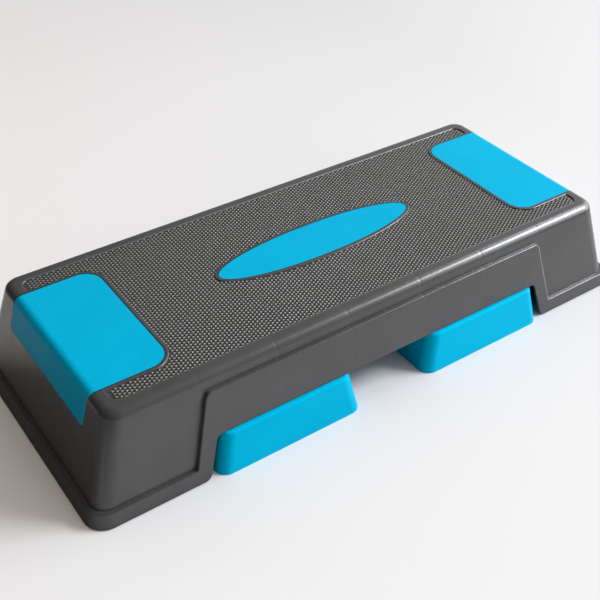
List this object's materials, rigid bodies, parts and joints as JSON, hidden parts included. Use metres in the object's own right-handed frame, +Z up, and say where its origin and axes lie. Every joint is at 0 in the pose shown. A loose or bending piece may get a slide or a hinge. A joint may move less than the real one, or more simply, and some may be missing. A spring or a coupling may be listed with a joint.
{
  "type": "aerobic step platform",
  "caption": "Low moulded exercise step with knurled deck, coloured end pads and a bare oval plate; legs nested in side notches fold out beneath the ends to raise it.",
  "frame": {"origin": "centre of the footprint, on the floor", "axes": "+X along the length, +Y across it, +Z up"},
  "size_m": [0.68, 0.2884, 0.11],
  "materials": {
    "anthracite_plastic": "satin injection-moulded polypropylene",
    "blue_plastic": "satin injection-moulded polypropylene",
    "foot_rubber": "matt",
    "plated_steel": "zinc plated"
  },
  "bodies": {
    "platform": {"platform_shell": "anthracite_plastic", "left_end_pad": "blue_plastic", "right_end_pad": "blue_plastic", "centre_badge": "blue_plastic", "left_pad_screws": "plated_steel", "right_pad_screws": "plated_steel", "badge_screws": "plated_steel", "left_front_shell_foot": "foot_rubber", "left_rear_shell_foot": "foot_rubber", "right_front_shell_foot": "foot_rubber", "right_rear_shell_foot": "foot_rubber"},
    "left_leg": {"left_leg": "blue_plastic", "left_front_hinge_pin": "plated_steel", "left_rear_hinge_pin": "plated_steel", "left_front_pin_retainer": "plated_steel", "left_rear_pin_retainer": "plated_steel", "left_inner_front_sole_foot": "foot_rubber", "left_inner_rear_sole_foot": "foot_rubber", "left_outer_front_sole_foot": "foot_rubber", "left_outer_rear_sole_foot": "foot_rubber"},
    "right_leg": {"right_leg": "blue_plastic", "right_front_hinge_pin": "plated_steel", "right_rear_hinge_pin": "plated_steel", "right_front_pin_retainer": "plated_steel", "right_rear_pin_retainer": "plated_steel", "right_inner_front_sole_foot": "foot_rubber", "right_inner_rear_sole_foot": "foot_rubber", "right_outer_front_sole_foot": "foot_rubber", "right_outer_rear_sole_foot": "foot_rubber"}
  },
  "joints": [
    {"name": "left_leg_fold", "type": "hinge", "parent": "platform", "child": "left_leg", "pos_m": [-0.19358, 0, 0.00525], "axis": [0, 1, 0], "range_deg": [0, 180]},
    {"name": "right_leg_fold", "type": "hinge", "parent": "platform", "child": "right_leg", "pos_m": [0.19358, 0, 0.00525], "axis": [0, -1, 0], "range_deg": [0, 180]}
  ]
}
